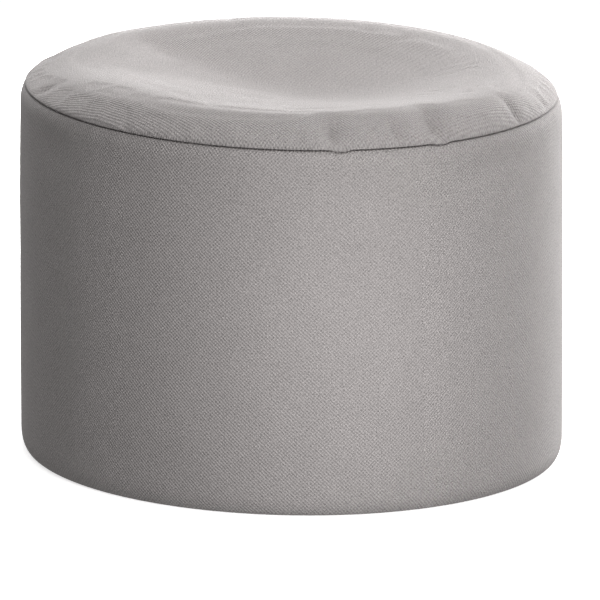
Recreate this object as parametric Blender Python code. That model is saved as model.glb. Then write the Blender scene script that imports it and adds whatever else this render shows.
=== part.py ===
"""Round outdoor pouf: a filled cloth drum of three sewn pieces.

Metres, +Z up. The origin is on the floor under the middle of the drum, -Y is the front and
+X is the viewer's right. The top disc and the side strip are sewn together round the rim,
and the base disc closes the underside. Each piece is modelled with the filling behind it.
"""
import math

import bmesh
import bpy
import numpy as np

# Driving sizes of the drum
RADIUS = 0.300            # the drum at half height
RIM_HEIGHT = 0.4049       # the rim seam above the floor, on average
RIM_RADIUS = 0.2930       # the rim seam from the axis
FOOT_SPREAD = 0.0010      # how much wider the drum is at its foot
NECK_TUCK = 0.0018        # how much narrower it is where the shoulder starts
FOOT_ROUND = (0.0078, 0.0205)     # inward and upward reach of the rounded bottom edge
SHOULDER_DROP = 0.0240    # height over which the side turns in to the rim seam
SHOULDER_TURN = 3.0       # how late it turns in
GAP = 0.0003              # clearance between neighbouring pieces

# The rim seam is a groove between the two cloths
SEAM_DEPTH = 0.0050
SEAM_LIP = 0.0009         # half of the groove's mouth

# The base disc
BASE_RADIUS = 0.2866
BASE_THICKNESS = 0.0025

# How the filled drum stands: it leans a little to the left, and its rim is not quite level
LEAN = 0.0186             # sideways shift for each metre of height
LEAN_PIVOT = 0.110        # height that stays over the origin
RIM_TILT = -0.0087        # rise of the rim for each metre to the right
RIM_PITCH = 0.0128        # rise of the rim for each metre to the back
RIM_SAG = 0.0015          # how far the rim rides up at its left and right and sags between

# The crowned top
ROLL_SHAPE = (1.2, 0.70)  # how late, and then how steeply, the edge roll turns down
CREST_MIDDLE = 0.0290     # height of the unsat cloth over the middle
CREST = (                 # azimuth from +X, height over the rim, distance out, softness
    (-112, 0.0288, 0.247, 0.014),
    (-90, 0.0290, 0.247, 0.004),
    (-62, 0.0300, 0.250, 0.009),
    (-35, 0.0300, 0.260, 0.030),
    (0, 0.0275, 0.228, 0.026),
    (45, 0.0315, 0.222, 0.030),
    (90, 0.0330, 0.215, 0.030),
    (138, 0.0290, 0.212, 0.045),
    (180, 0.0205, 0.210, 0.070),
    (225, 0.0285, 0.236, 0.075),
)

# The sat-in hollow: a broad basin, and a crease that runs into it from the back left
BASIN_DEPTH = 0.0200
CREASE_DEPTH = 0.0165
CREASE_START = (-0.190, 0.150)
CREASE_END = (0.015, 0.005)
CREASE_EASE = (0.004, 0.060)      # how soft its bottom is at its start and its end
CREASE_REACH = (0.062, 0.110)     # how far its slopes reach on the near side and the far side
CREASE_PAST = 0.150               # how far it runs out past its end
CREASE_RIM = (0.045, 0.080)       # it starts this far inside the rim, and deepens over this width

# The filling under the top is dished, so that the hollow stays clear of it
SEAT_DISH = 0.0200

# Gathers where the top cloth is pulled into the rim seam
GATHER_END = 18           # how suddenly a gather closes at the seam
GATHER_EASE = 0.0015      # how soft its bottom is
GATHERS = (               # azimuth, reach inward, width on its left and on its right, depth
    (-163.2, 0.030, 0.006, 0.010, 0.0090),
    (-152.0, 0.044, 0.016, 0.016, 0.0016),
    (-127.8, 0.036, 0.014, 0.014, 0.0024),
    (-81.1, 0.054, 0.009, 0.024, 0.0150),
    (-66.5, 0.036, 0.005, 0.013, 0.0100),
    (-56.3, 0.057, 0.016, 0.011, 0.0130),
    (-32.2, 0.044, 0.010, 0.012, 0.0050),
    (-17.1, 0.030, 0.010, 0.012, 0.0022),
    (22.5, 0.040, 0.014, 0.014, 0.0022),
    (62.5, 0.046, 0.015, 0.012, 0.0026),
    (107.5, 0.110, 0.012, 0.020, 0.0022),
    (125.0, 0.044, 0.013, 0.013, 0.0024),
    (157.5, 0.040, 0.012, 0.014, 0.0030),
)

# Soft dents in the side, as the loose filling leaves them
DENTS = (                 # azimuth, height, half width round, half height, depth
    (-42.0, 0.372, 0.075, 0.020, 0.0024),
    (-150.0, 0.366, 0.060, 0.024, 0.0018),
    (-100.0, 0.120, 0.110, 0.070, 0.0012),
    (35.0, 0.250, 0.120, 0.080, 0.0016),
    (128.0, 0.330, 0.090, 0.050, 0.0020),
)

# Mesh density
TOP_STEPS = 192
SIDE_STEPS = 96
BASE_STEPS = 96
TOP_RINGS = 24
RING_CROWDING = 1.7       # above 1 the rings crowd towards the rim
WALL_ROWS = 7
CORNER_ROWS = 4

# Cloth colours, as linear values
CLOTH = {
    "top_panel": (0.42, 0.39, 0.38, 1.0),
    "side_panel": (0.36, 0.335, 0.325, 1.0),
    "base_panel": (0.30, 0.28, 0.27, 1.0),
}
CLOTH_ROUGHNESS = 0.9
SMOOTH_ANGLE = math.radians(50)


def ease(value):
    """A soft step from 0 to 1 as the value goes from 0 to 1."""
    value = np.clip(value, 0.0, 1.0)
    return value * value * (3.0 - 2.0 * value)


def turn_between(a, b):
    """The signed turn in radians from azimuth b to azimuth a, the short way round."""
    return (a - b + math.pi) % (2.0 * math.pi) - math.pi


def crest_at(azimuth, column):
    """One column of the crest's rows, eased between them round the rim."""
    rows = sorted((math.radians(row[0]) % (2.0 * math.pi), row[column]) for row in CREST)
    closed = [(rows[-1][0] - 2.0 * math.pi, rows[-1][1])] + rows
    closed.append((rows[0][0] + 2.0 * math.pi, rows[0][1]))
    azimuth = azimuth % (2.0 * math.pi)
    value = np.zeros_like(azimuth)
    for (a0, v0), (a1, v1) in zip(closed, closed[1:]):
        here = (azimuth >= a0) & (azimuth <= a1)
        value[here] = v0 + (v1 - v0) * ease((azimuth[here] - a0) / (a1 - a0))
    return value


def bend(distance, softness):
    """A distance whose corner at nought is rounded by the softness."""
    return np.sqrt(distance * distance + softness * softness) - softness


def crease(x, y):
    """How deep the crease is that runs into the hollow from the back left."""
    run = np.array(CREASE_END) - np.array(CREASE_START)
    length = np.hypot(*run)
    px, py = x - CREASE_START[0], y - CREASE_START[1]
    along = (px * run[0] + py * run[1]) / length
    across = (-run[1] * px + run[0] * py) / length
    share = np.clip(along / length, 0.0, 1.0)
    softness = CREASE_EASE[0] + (CREASE_EASE[1] - CREASE_EASE[0]) * share
    reach = np.where(across < 0.0, CREASE_REACH[0], CREASE_REACH[1])
    past = np.maximum(along - length, 0.0) / CREASE_PAST
    depth = CREASE_DEPTH * np.exp(-bend(across, softness) / reach - past * past)
    return depth * ease((RIM_RADIUS - np.hypot(x, y) - CREASE_RIM[0]) / CREASE_RIM[1])


def hollow(x, y):
    """How deep the sat-in hollow is below the crest."""
    azimuth = np.arctan2(y, x)
    reach, softness = crest_at(azimuth, 2), crest_at(azimuth, 3)
    inward = bend(np.maximum(reach - np.hypot(x, y), 0.0), softness)
    basin = BASIN_DEPTH * np.sin(inward / bend(reach, softness) * math.pi / 2.0)
    return basin + crease(x, y)


def gather(x, y):
    """How deep the gathers along the rim seam are at this place."""
    radius, azimuth = np.hypot(x, y), np.arctan2(y, x)
    inward = RIM_RADIUS - radius
    depth = np.zeros_like(radius)
    for angle, reach, left, right, fold_depth in GATHERS:
        offset = turn_between(azimuth, math.radians(angle)) * radius
        spread = np.where(offset < 0.0, left, right) * (0.6 + 0.8 * np.clip(inward / reach, 0.0, 1.0))
        depth += fold_depth * np.exp(-bend(offset, GATHER_EASE) / spread * 1.3) * ease(1.0 - inward / reach)
    return depth


def top_place(x, y):
    """The cloth over plan points of the top, with its height over the rim seam."""
    radius = np.maximum(np.hypot(x, y), 1e-6)
    azimuth = np.arctan2(y, x)
    crest_radius = crest_at(azimuth, 2)
    softness = crest_at(azimuth, 3) / 2.0
    outward = bend(np.maximum(radius - crest_radius, 0.0), softness)
    out = np.clip(outward / bend(RIM_RADIUS - crest_radius, softness), 0.0, 1.0)
    crest = CREST_MIDDLE + (crest_at(azimuth, 1) - CREST_MIDDLE) * ease(radius / crest_radius)
    height = crest * (1.0 - out ** ROLL_SHAPE[0]) ** ROLL_SHAPE[1] - hollow(x, y)
    fold = gather(x, y) * (1.0 - out ** GATHER_END)
    tilt = out * math.pi / 2.0
    inner = 1.0 - fold * np.sin(tilt) / radius
    return x * inner, y * inner, height - fold * np.cos(tilt)


def rim_rise(x, y):
    """How far the rim stands above its average height over a plan point."""
    return RIM_TILT * x + RIM_PITCH * y + RIM_SAG * (x * x - y * y) / RIM_RADIUS ** 2


def dent(azimuth, height):
    """How far the soft dents push the side in at this place."""
    depth = np.zeros_like(height)
    for angle, middle, half_round, half_height, push in DENTS:
        across = turn_between(azimuth, math.radians(angle)) * RADIUS / half_round
        up = (height - middle) / half_height
        depth += push * np.exp(-(across * across + up * up))
    return depth


def lean(points):
    """Leans points of the upright drum as the filled drum leans."""
    points[:, 0] -= LEAN * (points[:, 2] - LEAN_PIVOT)
    return points


def get_points(mesh):
    """The mesh's points as rows of x, y and z."""
    flat = np.empty(len(mesh.vertices) * 3)
    mesh.vertices.foreach_get("co", flat)
    return flat.reshape(-1, 3)


def set_points(mesh, points):
    """Moves the mesh's points."""
    mesh.vertices.foreach_set("co", points.ravel())
    mesh.update()


def spin_profile(name, profile, steps):
    """A closed turned body from a profile of (radius, height) points that starts and ends on the axis."""
    mesh = bpy.data.meshes.new(name)
    turned = bmesh.new()
    chain = [turned.verts.new((radius, 0.0, height)) for radius, height in profile]
    edges = [turned.edges.new(pair) for pair in zip(chain, chain[1:])]
    bmesh.ops.spin(
        turned,
        geom=chain + edges,
        cent=(0.0, 0.0, 0.0),
        axis=(0.0, 0.0, 1.0),
        angle=2.0 * math.pi,
        steps=steps,
        use_merge=True,
    )
    bmesh.ops.remove_doubles(turned, verts=turned.verts, dist=GAP / 10.0)
    bmesh.ops.recalc_face_normals(turned, faces=turned.faces)
    turned.to_mesh(mesh)
    turned.free()
    return mesh


def cloth_material(name):
    """Matt woven cloth in the colour of one piece."""
    material = bpy.data.materials.new(name + "_cloth")
    material.use_nodes = True
    shader = material.node_tree.nodes["Principled BSDF"]
    shader.inputs["Base Color"].default_value = CLOTH[name]
    shader.inputs["Roughness"].default_value = CLOTH_ROUGHNESS
    shader.inputs["Metallic"].default_value = 0.0
    return material


def place(name, mesh):
    """An object for one piece, smooth but for its sewn edges."""
    mesh.shade_smooth()
    mesh.set_sharp_from_angle(angle=SMOOTH_ANGLE)
    mesh.materials.append(cloth_material(name))
    piece = bpy.data.objects.new(name, mesh)
    bpy.context.scene.collection.objects.link(piece)
    return piece


def top_panel():
    """The top cloth: a crowned, sat-in cap with gathers at the rim seam."""
    inner = RIM_RADIUS - SEAM_DEPTH
    profile = [(0.0, -SEAT_DISH), (inner, 0.0)]
    for ring in range(TOP_RINGS + 1):
        radius = RIM_RADIUS * (1.0 - (ring / TOP_RINGS) ** RING_CROWDING)
        profile.append((radius, SEAM_LIP))
    mesh = spin_profile("top_panel", profile, TOP_STEPS)
    points = get_points(mesh)
    rise = rim_rise(points[:, 0], points[:, 1])
    skin = points[:, 2] > SEAM_LIP / 2.0
    x, y, height = top_place(points[skin, 0], points[skin, 1])
    points[skin, 0] = x
    points[skin, 1] = y
    points[skin, 2] += height
    points[:, 2] += RIM_HEIGHT + rise + GAP / 2.0
    set_points(mesh, lean(points))
    return place("top_panel", mesh)


def side_profile():
    """Radius and height of the side from the foot up to the rim seam."""
    foot_in, foot_up = FOOT_ROUND
    foot_radius = RADIUS + FOOT_SPREAD
    neck_radius = RADIUS - NECK_TUCK
    neck_height = RIM_HEIGHT - SHOULDER_DROP
    points = []
    for turn in np.linspace(0.0, math.pi / 2.0, CORNER_ROWS + 1):
        radius = foot_radius - foot_in * (1.0 - math.sin(turn))
        points.append((radius, foot_up * (1.0 - math.cos(turn))))
    for share in np.linspace(0.0, 1.0, WALL_ROWS + 1)[1:]:
        radius = foot_radius + (neck_radius - foot_radius) * share * share
        points.append((radius, foot_up + (neck_height - foot_up) * share))
    for share in np.linspace(0.0, 1.0, CORNER_ROWS + 1)[1:]:
        radius = neck_radius + (RIM_RADIUS - neck_radius) * share ** SHOULDER_TURN
        points.append((radius, neck_height + (SHOULDER_DROP - SEAM_LIP) * share))
    return points


def side_panel():
    """The side cloth: a filled drum with a rounded foot and a drawn-in neck."""
    recess_radius = BASE_RADIUS + GAP
    recess_height = BASE_THICKNESS + GAP
    profile = [(0.0, recess_height), (recess_radius, recess_height), (recess_radius, 0.0)]
    profile += side_profile()
    profile += [(RIM_RADIUS - SEAM_DEPTH, RIM_HEIGHT), (0.0, RIM_HEIGHT - SEAT_DISH)]
    mesh = spin_profile("side_panel", profile, SIDE_STEPS)
    points = get_points(mesh)
    radius = np.hypot(points[:, 0], points[:, 1])
    rise = rim_rise(points[:, 0], points[:, 1])
    outer = (radius > RIM_RADIUS - SEAM_LIP) & (points[:, 2] > 0.0)
    push = dent(np.arctan2(points[:, 1], points[:, 0]), points[:, 2]) / np.maximum(radius, 1e-6)
    points[outer, 0] *= 1.0 - push[outer]
    points[outer, 1] *= 1.0 - push[outer]
    upper = ease((points[:, 2] - LEAN_PIVOT) / (RIM_HEIGHT - LEAN_PIVOT))
    middle = radius < RIM_RADIUS / 2.0
    top = points[:, 2] >= np.where(middle, RIM_HEIGHT / 2.0, RIM_HEIGHT - SEAM_LIP * 2.0)
    upper[top] = 1.0
    points[top, 2] -= GAP / 2.0
    points[:, 2] += rise * upper
    set_points(mesh, lean(points))
    return place("side_panel", mesh)


def base_panel():
    """The base cloth: a flat disc on the floor, inside the side's turned-in foot."""
    profile = [
        (0.0, 0.0),
        (BASE_RADIUS, 0.0),
        (BASE_RADIUS, BASE_THICKNESS),
        (0.0, BASE_THICKNESS),
    ]
    mesh = spin_profile("base_panel", profile, BASE_STEPS)
    points = get_points(mesh)
    points[:, 0] += LEAN * LEAN_PIVOT
    set_points(mesh, points)
    return place("base_panel", mesh)


for old in list(bpy.data.objects):
    bpy.data.objects.remove(old)
top_panel()
side_panel()
base_panel()
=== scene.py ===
"""Outdoor pouf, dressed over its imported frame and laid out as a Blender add-on.

Metres, +Z up, -Y towards the viewer. A round top disc and a side strip of woven outdoor cloth
meet in a plain rim seam over loose filling, and a flat disc closes the underside.
"""
import math

import bmesh
import bpy
import numpy as np
from mathutils import Matrix, Vector


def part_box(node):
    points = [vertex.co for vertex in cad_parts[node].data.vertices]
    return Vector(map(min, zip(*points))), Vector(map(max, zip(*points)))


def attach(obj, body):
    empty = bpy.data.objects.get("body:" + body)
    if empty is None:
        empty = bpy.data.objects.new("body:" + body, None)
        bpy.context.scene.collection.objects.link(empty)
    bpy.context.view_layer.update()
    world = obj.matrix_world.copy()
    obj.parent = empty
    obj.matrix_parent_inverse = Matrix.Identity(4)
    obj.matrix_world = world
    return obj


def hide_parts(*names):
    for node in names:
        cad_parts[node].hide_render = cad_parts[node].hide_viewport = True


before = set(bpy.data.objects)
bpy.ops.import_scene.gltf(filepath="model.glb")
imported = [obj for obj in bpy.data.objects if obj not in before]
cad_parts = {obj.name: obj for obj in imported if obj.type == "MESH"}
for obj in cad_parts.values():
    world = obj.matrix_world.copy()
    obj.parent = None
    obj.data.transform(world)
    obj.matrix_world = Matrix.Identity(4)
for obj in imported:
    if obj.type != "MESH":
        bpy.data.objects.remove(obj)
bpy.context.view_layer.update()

bl_info = {
    "name": "Outdoor pouf",
    "version": (1, 0, 0),
    "blender": (4, 5, 0),
    "location": "3D View > Sidebar > Pouf",
    "description": "Dresses a round filled pouf with sewn cloth panels, and sets its stage",
    "category": "Object",
}

BASE_LOW, BASE_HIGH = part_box("base_panel")

# The drum's own sizes, repeated from the part's source
RADIUS = 0.300            # the drum at half height
RIM_HEIGHT = 0.4049       # the rim seam above the floor, on average
RIM_RADIUS = 0.2930       # the rim seam from the axis
FOOT_SPREAD = 0.0010      # how much wider the drum is at its foot
NECK_TUCK = 0.0018        # how much narrower it is where the shoulder starts
FOOT_ROUND = (0.0078, 0.0205)     # inward and upward reach of the rounded bottom edge
SHOULDER_DROP = 0.0240    # height over which the side turns in to the rim seam
SHOULDER_TURN = 3.0       # how late it turns in
GAP = 0.0003              # clearance between neighbouring pieces

# The rim seam is a groove between the two cloths
SEAM_DEPTH = 0.0050
SEAM_LIP = 0.0009         # half of the groove's mouth

# How the filled drum stands: it leans a little to the left, and its rim is not quite level
LEAN = 0.0186             # sideways shift for each metre of height
LEAN_PIVOT = 0.110        # height that stays over the origin
RIM_TILT = -0.0087        # rise of the rim for each metre to the right
RIM_PITCH = 0.0128        # rise of the rim for each metre to the back
RIM_SAG = 0.0015          # how far the rim rides up at its left and right and sags between

# The crowned top
ROLL_SHAPE = (1.2, 0.70)  # how late, and then how steeply, the edge roll turns down
CREST_MIDDLE = 0.0290     # height of the unsat cloth over the middle
CREST = (                 # azimuth from +X, height over the rim, distance out, softness
    (-112, 0.0288, 0.247, 0.014),
    (-90, 0.0290, 0.247, 0.004),
    (-62, 0.0300, 0.250, 0.009),
    (-35, 0.0300, 0.260, 0.030),
    (0, 0.0275, 0.228, 0.026),
    (45, 0.0315, 0.222, 0.030),
    (90, 0.0330, 0.215, 0.030),
    (138, 0.0290, 0.212, 0.045),
    (180, 0.0205, 0.210, 0.070),
    (225, 0.0285, 0.236, 0.075),
)

# The sat-in hollow: a broad basin, and a crease that runs into it from the back left
BASIN_DEPTH = 0.0200
CREASE_DEPTH = 0.0165
CREASE_START = (-0.190, 0.150)
CREASE_END = (0.015, 0.005)
CREASE_EASE = (0.004, 0.060)      # how soft its bottom is at its start and its end
CREASE_REACH = (0.062, 0.110)     # how far its slopes reach on the near side and the far side
CREASE_PAST = 0.150               # how far it runs out past its end
CREASE_RIM = (0.045, 0.080)       # it starts this far inside the rim, and deepens over this width

# The surface between the top and the side is dished, so that the hollow stays clear of it
SEAT_DISH = 0.0200

# Gathers where the top cloth is pulled into the rim seam
GATHER_END = 18           # how suddenly a gather closes at the seam
GATHER_EASE = 0.0015      # how soft its bottom is
GATHERS = (               # azimuth, reach inward, width on its left and on its right, depth
    (-163.2, 0.030, 0.006, 0.010, 0.0090),
    (-152.0, 0.044, 0.016, 0.016, 0.0016),
    (-127.8, 0.036, 0.014, 0.014, 0.0024),
    (-81.1, 0.054, 0.009, 0.024, 0.0150),
    (-66.5, 0.036, 0.005, 0.013, 0.0100),
    (-56.3, 0.057, 0.016, 0.011, 0.0130),
    (-32.2, 0.044, 0.010, 0.012, 0.0050),
    (-17.1, 0.030, 0.010, 0.012, 0.0022),
    (22.5, 0.040, 0.014, 0.014, 0.0022),
    (62.5, 0.046, 0.015, 0.012, 0.0026),
    (107.5, 0.110, 0.012, 0.020, 0.0022),
    (125.0, 0.044, 0.013, 0.013, 0.0024),
    (157.5, 0.040, 0.012, 0.014, 0.0030),
)

# The strip's own seam, a shallow crease up the back
CLOSING_AZIMUTH = 90.0
CLOSING_DEPTH = 0.0016
CLOSING_EASE = 0.0008     # how soft its bottom is
CLOSING_WIDTH = 0.0035    # how far its slopes reach
CLOSING_RIM = 0.004       # it fades in over this height below the rim seam

# Soft dents in the side
DENTS = (                 # azimuth, height, half width round, half height, depth
    (-42.0, 0.372, 0.075, 0.020, 0.0024),
    (-150.0, 0.366, 0.060, 0.024, 0.0018),
    (-100.0, 0.120, 0.110, 0.070, 0.0012),
    (35.0, 0.250, 0.120, 0.080, 0.0016),
    (128.0, 0.330, 0.090, 0.050, 0.0020),
)

# How fine the dressed cloth is
STEPS = 560
TOP_RINGS = 76
RING_CROWDING = 1.5
WALL_ROWS = 56
CORNER_ROWS = 8
BASE_RINGS = 14

# Where the top cloth bulges over the rim seam and hides it
LAPS = (                  # azimuth, half width, how far out, how far down
    (-79.4, 0.0100, 0.0024, 0.0014),
    (-56.7, 0.0090, 0.0020, 0.0012),
)
LAP_REACH = 0.016         # how far inside the rim a lap starts

# Small slack: drag lines at the rim and lumps of the loose filling, spread by a seeded draw
DRAG_SEED = 11
DRAG_COUNT = 90
DRAG_DEPTH = 0.0005
DRAG_REACH = (0.012, 0.055)       # shortest and longest
DRAG_WIDTH = (0.004, 0.010)       # narrowest and widest
DRAG_SLANT = 0.35                 # most sideways run for each metre away from the rim
DRAG_START = 0.004                # they fade in over this width
LUMP_SEED = 5
LUMP_DEPTH = 0.0007
LUMP_WIDE = (0.025, 0.080)
LUMP_TALL = (0.020, 0.060)
TOP_LUMPS = 40
SIDE_LUMPS = 60
SIDE_LUMP_HEIGHTS = (0.03, 0.37)
STITCHES = 460            # along the rim seam, so one each 4 mm

# Cloth pattern sizes in metres
YARN = 0.0021             # drawn wide, so that it shows from the camera
YARN_STRETCH = 1.3        # width of the streaks, in yarns
SLUB = 0.009              # length of a lighter or darker stretch of yarn
FLECK = 0.0019            # size of the lighter and darker flecks
MOTTLE = 0.045            # width of the soft patches in the dye
SEAM_FADE = 0.0026        # how far the stitch pulls and the painted seam shade reach from the seam

# How much each of them changes the tone
WEAVE_TONE = 0.16
YARN_TONE = 0.34
FLECK_TONE = 0.75
PATCH_TONE = 0.10
# painted shade: how much the cloth is darkened along the seam groove
SEAM_PAINTED_SHADE = -0.10

# How they shape the surface
FLECK_RISE = 0.6
STITCH_PULL = 0.1
BUMP_HEIGHT = 0.0008
ROUGHNESS = (0.92, -0.08)         # between the yarns, and its change on their crowns
SHEEN = (0.12, 0.5)               # weight and roughness
SPECULAR = 0.25

# The top disc is cut a little larger than the rim, and the crown takes up the rest
CROWN_CUT = 0.06
CROWN_CUT_FROM = 0.20
CROWN_CUT_OVER = 0.09

# The cloth step
CLOTH_FRAMES = 20
CLOTH_SLACK = 0.004
CLOTH_CAP = 0.0007        # most that a point may move
CLOTH_PRESSURE = 0.6
CLOTH_STIFFNESS = (25.0, 8.0)     # along the yarns, and in shear and bending
CLOTH_HELD = 0.003        # width at the rim that is held
CLOTH_FREE = 0.10         # radius where the run starts to count, and the width it eases in over

# The camera looks at a place a little to the right of the axis and below this height
CAMERA_AIM = (0.0083, 0.0, 0.2)
CAMERA_DROP = 0.0331
SENSOR_WIDTH = 36.0
FLOOR_RADIUS = 14.0

# The studio: softboxes round the drum, aimed at its middle
LIGHT_AIM = 0.22
LIGHTS = (                # name, azimuth, elevation, distance, width, height, spread, watts
    ("rim_low", 142, 8, 2.0, 0.6, 1.4, 180, 48.0),
    ("rim_right", 125, 8, 2.0, 0.6, 1.4, 180, 22.0),
    ("rim_left", 210, 18, 2.2, 0.8, 0.8, 180, 16.0),
    ("back_low", 180, 10, 2.2, 0.9, 0.5, 180, 30.0),
    ("top_back", 180, 60, 2.2, 0.9, 0.9, 180, 19.0),
    ("top_front", 0, 60, 2.2, 0.9, 0.9, 180, 12.0),
    ("top_right", 75, 50, 2.2, 0.9, 0.9, 180, 11.0),
    ("front_strip", 13, -6, 0.75, 0.1, 0.6, 180, 2.2),
    ("floor_right", 65, -11, 0.8, 0.9, 0.2, 180, 0.58),
    ("floor_left", -50, -11, 0.8, 0.9, 0.2, 180, 0.1),
)
WORLD_LIGHT = 0.270
FLOOR_GLOW = 0.62


class PoufForm(bpy.types.PropertyGroup):
    """Sizes of the cloth that a user would change."""

    fill: bpy.props.FloatProperty(
        name="Fill", description="How tight the filling is, from slack to hard",
        default=0.55, min=0.0, max=1.0)


class PoufColours(bpy.types.PropertyGroup):
    """Colours of the cloth and the stage."""

    cloth: bpy.props.StringProperty(
        name="Cloth", description="Colour of the woven cloth as sRGB hex", default="A7A2A1")
    floor: bpy.props.StringProperty(
        name="Floor", description="Colour of the floor as sRGB hex", default="F4F3F2")


class PoufStage(bpy.types.PropertyGroup):
    """The camera."""

    distance: bpy.props.FloatProperty(
        name="Distance", description="From the camera to the middle of the drum",
        default=7.26, unit="LENGTH")
    elevation: bpy.props.FloatProperty(
        name="Elevation", description="How far the camera looks down", default=math.radians(13.73),
        subtype="ANGLE")
    roll: bpy.props.FloatProperty(
        name="Roll", description="How far the camera is turned about its view",
        default=math.radians(1.06), subtype="ANGLE")
    lens: bpy.props.FloatProperty(
        name="Lens", description="Focal length on a 36 mm sensor, in millimetres", default=393.3)


def linear(hex_colour):
    """An sRGB hex colour as linear RGBA."""
    channels = [int(hex_colour[i:i + 2], 16) / 255.0 for i in (0, 2, 4)]
    return [c / 12.92 if c <= 0.04045 else ((c + 0.055) / 1.055) ** 2.4 for c in channels] + [1.0]


def ease(value):
    """A soft step from 0 to 1 as the value goes from 0 to 1."""
    value = np.clip(value, 0.0, 1.0)
    return value * value * (3.0 - 2.0 * value)


def turn_between(a, b):
    """The signed turn in radians from azimuth b to azimuth a, the short way round."""
    return (a - b + math.pi) % (2.0 * math.pi) - math.pi


def crest_at(azimuth, column):
    """One column of the crest's rows, eased between them round the rim."""
    rows = sorted((math.radians(row[0]) % (2.0 * math.pi), row[column]) for row in CREST)
    closed = [(rows[-1][0] - 2.0 * math.pi, rows[-1][1])] + rows
    closed.append((rows[0][0] + 2.0 * math.pi, rows[0][1]))
    azimuth = azimuth % (2.0 * math.pi)
    value = np.zeros_like(azimuth)
    for (a0, v0), (a1, v1) in zip(closed, closed[1:]):
        here = (azimuth >= a0) & (azimuth <= a1)
        value[here] = v0 + (v1 - v0) * ease((azimuth[here] - a0) / (a1 - a0))
    return value


def bend(distance, softness):
    """A distance whose corner at nought is rounded by the softness."""
    return np.sqrt(distance * distance + softness * softness) - softness


def crease(x, y):
    """How deep the crease is that runs into the hollow from the back left."""
    run = np.array(CREASE_END) - np.array(CREASE_START)
    length = np.hypot(*run)
    px, py = x - CREASE_START[0], y - CREASE_START[1]
    along = (px * run[0] + py * run[1]) / length
    across = (-run[1] * px + run[0] * py) / length
    share = np.clip(along / length, 0.0, 1.0)
    softness = CREASE_EASE[0] + (CREASE_EASE[1] - CREASE_EASE[0]) * share
    reach = np.where(across < 0.0, CREASE_REACH[0], CREASE_REACH[1])
    past = np.maximum(along - length, 0.0) / CREASE_PAST
    depth = CREASE_DEPTH * np.exp(-bend(across, softness) / reach - past * past)
    return depth * ease((RIM_RADIUS - np.hypot(x, y) - CREASE_RIM[0]) / CREASE_RIM[1])


def hollow(x, y):
    """How deep the sat-in hollow is below the crest."""
    azimuth = np.arctan2(y, x)
    reach, softness = crest_at(azimuth, 2), crest_at(azimuth, 3)
    inward = bend(np.maximum(reach - np.hypot(x, y), 0.0), softness)
    basin = BASIN_DEPTH * np.sin(inward / bend(reach, softness) * math.pi / 2.0)
    return basin + crease(x, y)


def gather(x, y):
    """How deep the gathers along the rim seam are at this place."""
    radius, azimuth = np.hypot(x, y), np.arctan2(y, x)
    inward = RIM_RADIUS - radius
    depth = np.zeros_like(radius)
    for angle, reach, left, right, fold_depth in GATHERS:
        offset = turn_between(azimuth, math.radians(angle)) * radius
        spread = np.where(offset < 0.0, left, right) * (0.6 + 0.8 * np.clip(inward / reach, 0.0, 1.0))
        slope = np.exp(-bend(offset, GATHER_EASE) / spread * 1.3)
        depth += fold_depth * slope * ease(1.0 - inward / reach)
    return depth


def top_place(x, y):
    """The cloth over plan points of the top, with its height over the rim seam."""
    radius = np.maximum(np.hypot(x, y), 1e-6)
    azimuth = np.arctan2(y, x)
    crest_radius = crest_at(azimuth, 2)
    softness = crest_at(azimuth, 3) / 2.0
    outward = bend(np.maximum(radius - crest_radius, 0.0), softness)
    out = np.clip(outward / bend(RIM_RADIUS - crest_radius, softness), 0.0, 1.0)
    crest = CREST_MIDDLE + (crest_at(azimuth, 1) - CREST_MIDDLE) * ease(radius / crest_radius)
    height = crest * (1.0 - out ** ROLL_SHAPE[0]) ** ROLL_SHAPE[1] - hollow(x, y)
    fold = gather(x, y) * (1.0 - out ** GATHER_END)
    tilt = out * math.pi / 2.0
    inner = 1.0 - fold * np.sin(tilt) / radius
    return x * inner, y * inner, height - fold * np.cos(tilt)


def rim_rise(x, y):
    """How far the rim stands above its average height over a plan point."""
    return RIM_TILT * x + RIM_PITCH * y + RIM_SAG * (x * x - y * y) / RIM_RADIUS ** 2


def dent(azimuth, height):
    """How far the soft dents push the side in at this place."""
    depth = np.zeros_like(height)
    for angle, middle, half_round, half_height, push in DENTS:
        across = turn_between(azimuth, math.radians(angle)) * RADIUS / half_round
        up = (height - middle) / half_height
        depth += push * np.exp(-(across * across + up * up))
    return depth


def lean(points):
    """Leans points of the upright drum as the filled drum leans."""
    points[:, 0] -= LEAN * (points[:, 2] - LEAN_PIVOT)
    return points


def lap(azimuth, radius):
    """How much of the nearest lap over the rim seam there is, with its reach out and down."""
    out, down = np.zeros_like(radius), np.zeros_like(radius)
    near = ease((radius - RIM_RADIUS + LAP_REACH) / LAP_REACH)
    for angle, half_width, push, drop in LAPS:
        offset = turn_between(azimuth, math.radians(angle)) * RIM_RADIUS / half_width
        share = np.exp(-(offset ** 4)) * near
        out += push * share
        down += drop * share
    return out, down


def drag(azimuth, away):
    """Height of the fine drag lines that run away from the rim seam."""
    draw = np.random.default_rng(DRAG_SEED)
    height = np.zeros_like(azimuth)
    for _ in range(DRAG_COUNT):
        angle, reach = draw.uniform(-math.pi, math.pi), draw.uniform(*DRAG_REACH)
        width, slant = draw.uniform(*DRAG_WIDTH), draw.uniform(-DRAG_SLANT, DRAG_SLANT)
        depth = DRAG_DEPTH * draw.uniform(0.3, 1.0) * draw.choice((-1.0, 1.0))
        offset = turn_between(azimuth, angle) * RIM_RADIUS + slant * away
        fade = ease(away / DRAG_START) * ease(1.0 - away / reach)
        height += depth * np.exp(-((offset / width) ** 2)) * fade
    return height


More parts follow.
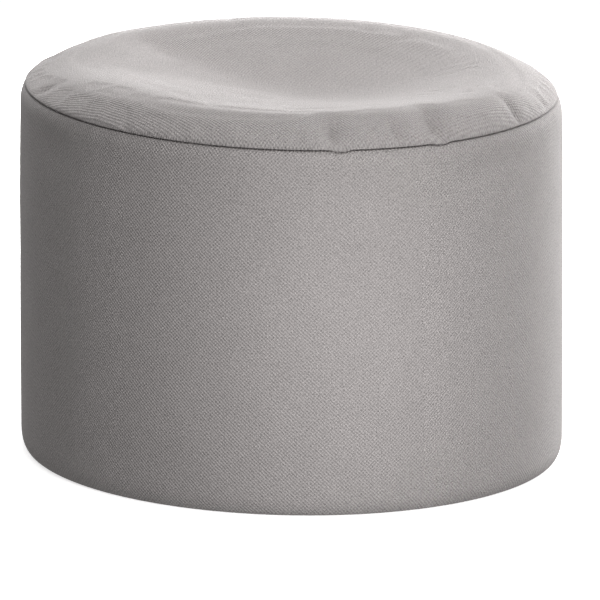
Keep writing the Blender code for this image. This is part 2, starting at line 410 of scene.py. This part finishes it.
def lumps(across, along, ranges, count, round_trip=None):
    """Low soft lumps that the loose filling makes in the cloth, in the cloth's own flat sizes."""
    draw = np.random.default_rng(LUMP_SEED + count)
    swell = np.zeros_like(across)
    for _ in range(count):
        middle = draw.uniform(*ranges[0]), draw.uniform(*ranges[1])
        wide, tall = draw.uniform(*LUMP_WIDE), draw.uniform(*LUMP_TALL)
        depth = LUMP_DEPTH * draw.uniform(-1.0, 1.0)
        offset = across - middle[0]
        if round_trip:
            offset = (offset + round_trip / 2.0) % round_trip - round_trip / 2.0
        swell += depth * np.exp(-((offset / wide) ** 2) - ((along - middle[1]) / tall) ** 2)
    return swell


def get_points(mesh):
    """The mesh's points as rows of x, y and z."""
    flat = np.empty(len(mesh.vertices) * 3)
    mesh.vertices.foreach_get("co", flat)
    return flat.reshape(-1, 3)


def set_points(mesh, points):
    """Moves the mesh's points."""
    mesh.vertices.foreach_set("co", points.ravel())
    mesh.update()


def spin_profile(name, profile, steps):
    """A closed turned mesh from (radius, height) points that start and end on the axis."""
    mesh = bpy.data.meshes.new(name)
    turned = bmesh.new()
    chain = [turned.verts.new((radius, 0.0, height)) for radius, height in profile]
    edges = [turned.edges.new(pair) for pair in zip(chain, chain[1:])]
    bmesh.ops.spin(turned, geom=chain + edges, cent=(0.0, 0.0, 0.0), axis=(0.0, 0.0, 1.0),
                   angle=2.0 * math.pi, steps=steps, use_merge=True)
    bmesh.ops.remove_doubles(turned, verts=turned.verts, dist=1e-5)
    bmesh.ops.recalc_face_normals(turned, faces=turned.faces)
    turned.to_mesh(mesh)
    turned.free()
    mesh.shade_smooth()
    return mesh


def closing_seam(azimuth, away):
    """Depth of the strip's own seam up the back, a shallow crease with a small ease at the rim."""
    offset = np.abs(turn_between(azimuth, math.radians(CLOSING_AZIMUTH))) * RADIUS
    slope = np.exp(-bend(offset, CLOSING_EASE) / CLOSING_WIDTH)
    return CLOSING_DEPTH * slope * ease(away / CLOSING_RIM)


def side_profile():
    """Radius and height of the side from the foot up to the rim seam."""
    foot_in, foot_up = FOOT_ROUND
    foot_radius = RADIUS + FOOT_SPREAD
    neck_radius = RADIUS - NECK_TUCK
    neck_height = RIM_HEIGHT - SHOULDER_DROP
    points = []
    for turn in np.linspace(0.0, math.pi / 2.0, CORNER_ROWS + 1):
        radius = foot_radius - foot_in * (1.0 - math.sin(turn))
        points.append((radius, foot_up * (1.0 - math.cos(turn))))
    for share in np.linspace(0.0, 1.0, WALL_ROWS + 1)[1:]:
        radius = foot_radius + (neck_radius - foot_radius) * share * share
        points.append((radius, foot_up + (neck_height - foot_up) * share))
    for share in np.linspace(0.0, 1.0, CORNER_ROWS + 1)[1:]:
        radius = neck_radius + (RIM_RADIUS - neck_radius) * share ** SHOULDER_TURN
        points.append((radius, neck_height + (SHOULDER_DROP - SEAM_LIP) * share))
    return points


def finish_piece(mesh, name, node):
    """The object for one piece: it rides on the drum and stands for its plain solid."""
    piece = bpy.data.objects.new(name, mesh)
    bpy.context.scene.collection.objects.link(piece)
    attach(piece, "root")
    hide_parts(node)
    return piece


def corner_azimuths(mesh, points):
    """Azimuth from the front at each face corner, unbroken within a face, and each corner's point."""
    count = len(mesh.loops)
    corner = np.empty(count, dtype=np.int32)
    mesh.loops.foreach_get("vertex_index", corner)
    starts = np.empty(len(mesh.polygons), dtype=np.int32)
    mesh.polygons.foreach_get("loop_start", starts)
    totals = np.diff(np.append(starts, count))
    middle = np.add.reduceat(points[corner], starts, axis=0) / totals[:, None]
    face = np.repeat(np.arctan2(middle[:, 0], -middle[:, 1]), totals)
    own = np.arctan2(points[corner, 0], -points[corner, 1])
    on_axis = np.hypot(points[corner, 0], points[corner, 1]) < 1e-5
    own[on_axis] = face[on_axis]
    return face + turn_between(own, face), corner


def add_map(mesh, name, u, v):
    """A UV map in metres from values at the face corners."""
    layer = mesh.uv_layers.new(name=name)
    layer.data.foreach_set("uv", np.stack([u, v], axis=-1).astype(np.float32).ravel())


def add_node(tree, kind, settings=None, values=None, links=None):
    """Adds a node with its settings, its socket values and its links, and returns it."""
    node = tree.nodes.new(kind)
    for key, value in (settings or {}).items():
        setattr(node, key, value)
    for socket, value in (values or {}).items():
        node.inputs[socket].default_value = value
    for socket, source in (links or {}).items():
        tree.links.new(source, node.inputs[socket])
    return node


def formula(tree, operation, a, b=None, c=None):
    """A Math node's result from sockets or plain numbers."""
    node = add_node(tree, "ShaderNodeMath", {"operation": operation})
    for index, value in enumerate((a, b, c)):
        if isinstance(value, (int, float)):
            node.inputs[index].default_value = value
        elif value is not None:
            tree.links.new(value, node.inputs[index])
    return node.outputs[0]


def woven_cloth(name, colour):
    """Matt outdoor cloth, taken to be polyester: a plain weave of slightly uneven melange yarn.

    The eye gets the fine hatch of the crossing yarns, lighter and darker stretches of single
    yarns, soft patches in the dye, a dull sheen at grazing angles and a tight stitched rim
    with painted shade along its seam.
    """
    if name in bpy.data.materials:
        return bpy.data.materials[name]
    material = bpy.data.materials.new(name)
    material.use_nodes = True
    tree = material.node_tree
    shader = tree.nodes["Principled BSDF"]
    cloth = add_node(tree, "ShaderNodeUVMap", {"uv_map": "cloth"}).outputs[0]
    parts = add_node(tree, "ShaderNodeSeparateXYZ", links={0: cloth})
    across, along = parts.outputs[0], parts.outputs[1]

    # The crossing yarns: one cell is a yarn wide, and over and under cells take turns
    wave_u = formula(tree, "SINE", formula(tree, "MULTIPLY", across, math.pi / YARN))
    wave_v = formula(tree, "SINE", formula(tree, "MULTIPLY", along, math.pi / YARN))
    weave = formula(tree, "MULTIPLY", wave_u, wave_v)
    over = formula(tree, "MULTIPLY_ADD", weave, 0.5, 0.5)

    # Melange: each yarn changes along its length, the weft along u and the warp along v
    streaks = []
    thin = 1.0 / (YARN * YARN_STRETCH)
    for scale in ((1.0 / SLUB, thin, 1.0), (thin, 1.0 / SLUB, 1.0)):
        spot = add_node(tree, "ShaderNodeVectorMath", {"operation": "MULTIPLY"}, {1: scale}, {0: cloth})
        noise = add_node(tree, "ShaderNodeTexNoise", {"noise_dimensions": "2D"},
                         {"Scale": 1.0, "Detail": 1.5, "Roughness": 0.6}, {"Vector": spot.outputs[0]})
        streaks.append(noise.outputs["Fac"])
    yarn = add_node(tree, "ShaderNodeMix", {"data_type": "FLOAT"},
                    links={0: over, 2: streaks[0], 3: streaks[1]}).outputs[0]
    fleck = add_node(tree, "ShaderNodeTexNoise", {"noise_dimensions": "2D"},
                     {"Scale": 1.0 / FLECK, "Detail": 1.0, "Roughness": 0.6},
                     {"Vector": cloth}).outputs["Fac"]
    patch = add_node(tree, "ShaderNodeTexNoise", {"noise_dimensions": "2D"},
                     {"Scale": 1.0 / MOTTLE, "Detail": 3.0, "Roughness": 0.55},
                     {"Vector": cloth}).outputs["Fac"]

    # The stitched rim: small pulls at each stitch, and painted shade along the seam groove
    rim = add_node(tree, "ShaderNodeUVMap", {"uv_map": "rim"}).outputs[0]
    rim_parts = add_node(tree, "ShaderNodeSeparateXYZ", links={0: rim})
    fade = formula(tree, "MULTIPLY", rim_parts.outputs[1], -1.0 / SEAM_FADE)
    close = formula(tree, "POWER", math.e, fade)
    stitch = formula(tree, "SINE", formula(tree, "MULTIPLY", rim_parts.outputs[0], 2.0 * math.pi))
    pull = formula(tree, "MULTIPLY", stitch, close)

    # Tone round 1: weave, yarn, flecks and patches
    tone = formula(tree, "MULTIPLY_ADD", weave, WEAVE_TONE, 1.0)
    for source, amount in ((yarn, YARN_TONE), (fleck, FLECK_TONE), (patch, PATCH_TONE)):
        tone = formula(tree, "MULTIPLY_ADD", formula(tree, "SUBTRACT", source, 0.5), amount, tone)
    # painted shade: the colour is darkened along the seam groove, where shade falls
    tone = formula(tree, "MULTIPLY", tone, formula(tree, "MULTIPLY_ADD", close, SEAM_PAINTED_SHADE, 1.0))
    tint = add_node(tree, "ShaderNodeVectorMath", {"operation": "SCALE"},
                    {0: colour[:3]}, {"Scale": tone})
    tree.links.new(tint.outputs[0], shader.inputs["Base Color"])

    # Worn crowns of the yarns are a little smoother than the cloth between them
    between, crown_change = ROUGHNESS
    roughness = formula(tree, "MULTIPLY_ADD", over, crown_change, between)
    tree.links.new(roughness, shader.inputs["Roughness"])
    sheen_weight, sheen_roughness = SHEEN
    shader.inputs["Sheen Weight"].default_value = sheen_weight
    shader.inputs["Sheen Roughness"].default_value = sheen_roughness
    shader.inputs["Specular IOR Level"].default_value = SPECULAR

    stitched = formula(tree, "MULTIPLY_ADD", pull, STITCH_PULL, over)
    height = formula(tree, "MULTIPLY_ADD", fleck, FLECK_RISE, stitched)
    bump = add_node(tree, "ShaderNodeBump", values={"Strength": 1.0, "Distance": BUMP_HEIGHT},
                    links={"Height": height})
    tree.links.new(bump.outputs[0], shader.inputs["Normal"])
    return material


def floor_paper(name, colour):
    """Seamless white paper with a low glow of its own, so that it stays pale behind the drum."""
    material = bpy.data.materials.new(name)
    material.use_nodes = True
    tree = material.node_tree
    shader = tree.nodes["Principled BSDF"]
    spot = add_node(tree, "ShaderNodeTexCoord").outputs["Object"]
    grain = add_node(tree, "ShaderNodeTexNoise", values={"Scale": 3.0, "Detail": 2.0},
                     links={"Vector": spot})
    tone = formula(tree, "MULTIPLY_ADD", grain.outputs["Fac"], 0.02, 0.99)
    tint = add_node(tree, "ShaderNodeVectorMath", {"operation": "SCALE"},
                    {0: colour[:3]}, {"Scale": tone})
    tree.links.new(tint.outputs[0], shader.inputs["Base Color"])
    shader.inputs["Roughness"].default_value = 0.95
    shader.inputs["Emission Color"].default_value = (1.0, 1.0, 1.0, 1.0)
    shader.inputs["Emission Strength"].default_value = FLOOR_GLOW
    return material


def relax(piece, held, free):
    """A short cloth run: the slack cloth settles over its filling while the rim holds it.

    How far a point may move is capped, and scaled by its own share in free.
    """
    mesh = piece.data
    start = get_points(mesh)
    group = piece.vertex_groups.new(name="held")
    group.add([int(i) for i in np.nonzero(held)[0]], 1.0, "REPLACE")
    cloth = piece.modifiers.new("cloth", "CLOTH")
    cloth.settings.quality = 4
    cloth.settings.mass = 0.3
    along_yarns, across_yarns = CLOTH_STIFFNESS
    cloth.settings.tension_stiffness = along_yarns
    cloth.settings.compression_stiffness = along_yarns
    cloth.settings.shear_stiffness = across_yarns
    cloth.settings.bending_stiffness = across_yarns
    cloth.settings.vertex_group_mass = "held"
    cloth.settings.use_dynamic_mesh = False
    cloth.settings.shrink_min = -CLOTH_SLACK
    cloth.settings.effector_weights.gravity = 0.0
    cloth.settings.use_pressure = True
    cloth.settings.uniform_pressure_force = CLOTH_PRESSURE
    cloth.collision_settings.use_collision = False
    cloth.point_cache.frame_start = 1
    cloth.point_cache.frame_end = CLOTH_FRAMES
    scene = bpy.context.scene
    for step in range(1, CLOTH_FRAMES + 1):
        scene.frame_set(step)
    settled = piece.evaluated_get(bpy.context.evaluated_depsgraph_get())
    moved = get_points(settled.to_mesh()) - start
    settled.to_mesh_clear()
    piece.modifiers.remove(cloth)
    piece.vertex_groups.remove(group)
    scene.frame_set(1)
    far = np.linalg.norm(moved, axis=1)
    keep = CLOTH_CAP * np.tanh(far / CLOTH_CAP) / np.maximum(far, 1e-9)
    set_points(mesh, start + moved * (keep * free)[:, None])
    print("cloth moved mm: mean %.2f, most %.2f" % (far.mean() * 1000.0, far.max() * 1000.0))


class POUF_OT_top(bpy.types.Operator):
    """Makes the crowned, sat-in top disc"""

    bl_idname = "pouf.top"
    bl_label = "Top disc"

    def execute(self, context):
        inner = RIM_RADIUS - SEAM_DEPTH
        profile = [(0.0, -SEAT_DISH), (inner * 0.5, -SEAT_DISH * 0.5), (inner, 0.0)]
        for ring in range(TOP_RINGS + 1):
            profile.append((RIM_RADIUS * (1.0 - (ring / TOP_RINGS) ** RING_CROWDING), SEAM_LIP))
        mesh = spin_profile("top_cloth", profile, STEPS)
        flat = get_points(mesh)
        points = flat.copy()
        rise = rim_rise(points[:, 0], points[:, 1])
        skin = points[:, 2] > SEAM_LIP / 2.0
        azimuth = np.arctan2(flat[skin, 1], flat[skin, 0])
        radius = np.hypot(flat[skin, 0], flat[skin, 1])
        x, y, height = top_place(flat[skin, 0], flat[skin, 1])
        out, down = lap(azimuth, radius)
        height += drag(azimuth, RIM_RADIUS - radius) - down
        plan = (-RIM_RADIUS, RIM_RADIUS)
        swell = lumps(flat[skin, 0], flat[skin, 1], (plan, plan), TOP_LUMPS)
        height += swell * ease((RIM_RADIUS - radius) / 0.03)
        points[skin, 0] = x + out * np.cos(azimuth)
        points[skin, 1] = y + out * np.sin(azimuth)
        points[skin, 2] += height
        points[:, 2] += RIM_HEIGHT + rise + GAP / 2.0
        set_points(mesh, lean(points))

        # The disc was cut flat, so its yarns run straight across it
        around, corner = corner_azimuths(mesh, flat)
        reach = np.hypot(flat[corner, 0], flat[corner, 1])
        cut = reach * (1.0 + CROWN_CUT * ease((reach - CROWN_CUT_FROM) / CROWN_CUT_OVER))
        add_map(mesh, "cloth", cut * np.sin(around), -cut * np.cos(around))
        add_map(mesh, "rim", around / (2.0 * math.pi) * STITCHES, np.maximum(RIM_RADIUS - reach, 0.0))
        piece = finish_piece(mesh, "top_cloth", "top_panel")
        mesh.materials.append(woven_cloth("woven_polyester", linear(context.scene.pouf_colours.cloth)))
        distance = np.hypot(flat[:, 0], flat[:, 1])
        held = ~skin | (distance > RIM_RADIUS - CLOTH_HELD)
        relax(piece, held, ease((distance - CLOTH_FREE) / CLOTH_FREE))
        return {"FINISHED"}


class POUF_OT_side(bpy.types.Operator):
    """Makes the filled side strip"""

    bl_idname = "pouf.side"
    bl_label = "Side strip"

    def execute(self, context):
        recess = (BASE_HIGH.x - BASE_LOW.x) / 2.0 + GAP
        recess_top = BASE_HIGH.z + GAP
        profile = [(0.0, recess_top), (recess * 0.5, recess_top), (recess, recess_top), (recess, 0.0)]
        profile += side_profile()
        inner = RIM_RADIUS - SEAM_DEPTH
        for share in (0.0, 0.5, 1.0):
            profile.append((inner * (1.0 - share), RIM_HEIGHT - SEAT_DISH * share))
        mesh = spin_profile("side_cloth", profile, STEPS)
        flat = get_points(mesh)
        points = flat.copy()
        radius = np.hypot(flat[:, 0], flat[:, 1])
        azimuth = np.arctan2(flat[:, 1], flat[:, 0])
        rise = rim_rise(flat[:, 0], flat[:, 1])
        outer = (radius > RIM_RADIUS - SEAM_LIP) & (flat[:, 2] > 0.0)
        away = np.maximum(RIM_HEIGHT - SEAM_LIP - flat[:, 2], 0.0)
        girth = 2.0 * math.pi * RADIUS
        spans = ((0.0, girth), SIDE_LUMP_HEIGHTS)
        swell = lumps(azimuth * RADIUS, flat[:, 2], spans, SIDE_LUMPS, girth) * ease(away / 0.02)
        swell += drag(azimuth, away)
        swell -= dent(azimuth, flat[:, 2]) + closing_seam(azimuth, away)
        push = swell / np.maximum(radius, 1e-6)
        points[outer, 0] *= 1.0 + push[outer]
        points[outer, 1] *= 1.0 + push[outer]

        # The foot stays level, and the seam and the dished surface follow the rim in full
        upper = ease((flat[:, 2] - LEAN_PIVOT) / (RIM_HEIGHT - LEAN_PIVOT))
        middle = radius < RIM_RADIUS * 0.6
        top = flat[:, 2] >= np.where(middle, RIM_HEIGHT / 2.0, RIM_HEIGHT - SEAM_LIP * 2.0)
        upper[top] = 1.0
        points[top, 2] -= GAP / 2.0
        points[:, 2] += rise * upper
        set_points(mesh, lean(points))

        # The strip's yarns run round the drum and up it
        around, corner = corner_azimuths(mesh, flat)
        add_map(mesh, "cloth", around * RADIUS, flat[corner, 2])
        add_map(mesh, "rim", around / (2.0 * math.pi) * STITCHES, away[corner])
        piece = finish_piece(mesh, "side_cloth", "side_panel")
        mesh.materials.append(woven_cloth("woven_polyester", linear(context.scene.pouf_colours.cloth)))
        return {"FINISHED"}


class POUF_OT_base(bpy.types.Operator):
    """Makes the flat base disc"""

    bl_idname = "pouf.base"
    bl_label = "Base disc"

    def execute(self, context):
        radius = (BASE_HIGH.x - BASE_LOW.x) / 2.0
        thick = (BASE_HIGH.z - BASE_LOW.z) * 0.6
        rings = [radius * share for share in np.linspace(0.0, 1.0, BASE_RINGS + 1)]
        profile = [(ring, 0.0) for ring in rings] + [(ring, thick) for ring in reversed(rings)]
        mesh = spin_profile("base_cloth", profile, STEPS // 4)
        flat = get_points(mesh)
        points = flat.copy()
        azimuth = np.arctan2(flat[:, 1], flat[:, 0])
        reach = np.hypot(flat[:, 0], flat[:, 1])
        ripple = drag(azimuth, np.maximum(radius - reach, 0.0))
        points[:, 2] += BASE_LOW.z + 0.0003 + np.clip(ripple, -0.0002, 0.0004)
        points[:, 0] += (BASE_LOW.x + BASE_HIGH.x) / 2.0
        set_points(mesh, points)
        around, corner = corner_azimuths(mesh, flat)
        span = reach[corner]
        add_map(mesh, "cloth", span * np.sin(around), -span * np.cos(around))
        add_map(mesh, "rim", around / (2.0 * math.pi) * STITCHES, np.maximum(radius - span, 0.0))
        piece = finish_piece(mesh, "base_cloth", "base_panel")
        mesh.materials.append(woven_cloth("woven_polyester", linear(context.scene.pouf_colours.cloth)))
        return {"FINISHED"}


def softbox(context, name, azimuth, elevation, reach, size, spread, energy):
    """A rectangular softbox aimed at the drum; azimuth 0 is the camera's side and 90 the right."""
    turn, rise = math.radians(azimuth), math.radians(elevation)
    out = Vector((math.sin(turn) * math.cos(rise), -math.cos(turn) * math.cos(rise), math.sin(rise)))
    light = bpy.data.lights.new(name, "AREA")
    light.shape = "RECTANGLE"
    light.size, light.size_y = size
    light.spread = math.radians(spread)
    light.energy = energy
    lamp = bpy.data.objects.new(name, light)
    context.scene.collection.objects.link(lamp)
    lamp.visible_camera = False
    lamp.location = Vector((0.0, 0.0, LIGHT_AIM)) + out * reach
    lamp.rotation_euler = (-out).to_track_quat("-Z", "Y").to_euler()


class POUF_OT_stage(bpy.types.Operator):
    """Sets the floor, the lights and the camera"""

    bl_idname = "pouf.stage"
    bl_label = "Stage"

    def execute(self, context):
        settings = context.scene.pouf_stage
        view = Vector((0.0, math.cos(settings.elevation), -math.sin(settings.elevation)))
        up = Vector((0.0, math.sin(settings.elevation), math.cos(settings.elevation)))
        camera_data = bpy.data.cameras.new("camera")
        camera = bpy.data.objects.new("camera", camera_data)
        context.scene.collection.objects.link(camera)
        camera_data.lens = settings.lens
        camera_data.sensor_width = SENSOR_WIDTH
        aim = Vector(CAMERA_AIM) - up * CAMERA_DROP
        turn = view.to_track_quat("-Z", "Y").to_matrix().to_4x4()
        camera.matrix_world = (
            Matrix.Translation(aim - view * settings.distance)
            @ turn
            @ Matrix.Rotation(settings.roll, 4, "Z")
        )
        context.scene.camera = camera
        floor_mesh = bpy.data.meshes.new("floor")
        shape = bmesh.new()
        bmesh.ops.create_circle(shape, cap_ends=True, segments=64, radius=FLOOR_RADIUS)
        shape.to_mesh(floor_mesh)
        shape.free()
        floor = bpy.data.objects.new("floor", floor_mesh)
        context.scene.collection.objects.link(floor)
        floor_mesh.materials.append(floor_paper("white_paper", linear(context.scene.pouf_colours.floor)))
        floor.visible_diffuse = False
        floor.visible_glossy = False
        world = bpy.data.worlds.new("world")
        context.scene.world = world
        world.use_nodes = True
        background = world.node_tree.nodes["Background"]
        background.inputs["Color"].default_value = (1, 1, 1, 1)
        background.inputs["Strength"].default_value = WORLD_LIGHT
        context.scene.view_settings.view_transform = "Standard"
        for name, azimuth, elevation, reach, width, height, spread, energy in LIGHTS:
            softbox(context, name, azimuth, elevation, reach, (width, height), spread, energy)
        return {"FINISHED"}


class POUF_PT_panel(bpy.types.Panel):
    """Lists buttons for the pouf's pieces and its stage"""

    bl_idname = "POUF_PT_panel"
    bl_label = "Pouf"
    bl_space_type = "VIEW_3D"
    bl_region_type = "UI"
    bl_category = "Pouf"

    def draw(self, context):
        for operator in (POUF_OT_top, POUF_OT_side, POUF_OT_base, POUF_OT_stage):
            self.layout.operator(operator.bl_idname)


CLASSES = (
    PoufForm,
    PoufColours,
    PoufStage,
    POUF_OT_top,
    POUF_OT_side,
    POUF_OT_base,
    POUF_OT_stage,
    POUF_PT_panel,
)


def register():
    """Adds the classes and their settings."""
    for each in CLASSES:
        bpy.utils.register_class(each)
    bpy.types.Scene.pouf_form = bpy.props.PointerProperty(type=PoufForm)
    bpy.types.Scene.pouf_colours = bpy.props.PointerProperty(type=PoufColours)
    bpy.types.Scene.pouf_stage = bpy.props.PointerProperty(type=PoufStage)


def unregister():
    """Takes them away again."""
    del bpy.types.Scene.pouf_stage
    del bpy.types.Scene.pouf_colours
    del bpy.types.Scene.pouf_form
    for each in reversed(CLASSES):
        bpy.utils.unregister_class(each)


def main():
    """Makes every piece and the stage."""
    register()
    bpy.ops.pouf.top()
    bpy.ops.pouf.side()
    bpy.ops.pouf.base()
    bpy.ops.pouf.stage()


if __name__ == "__main__":
    main()
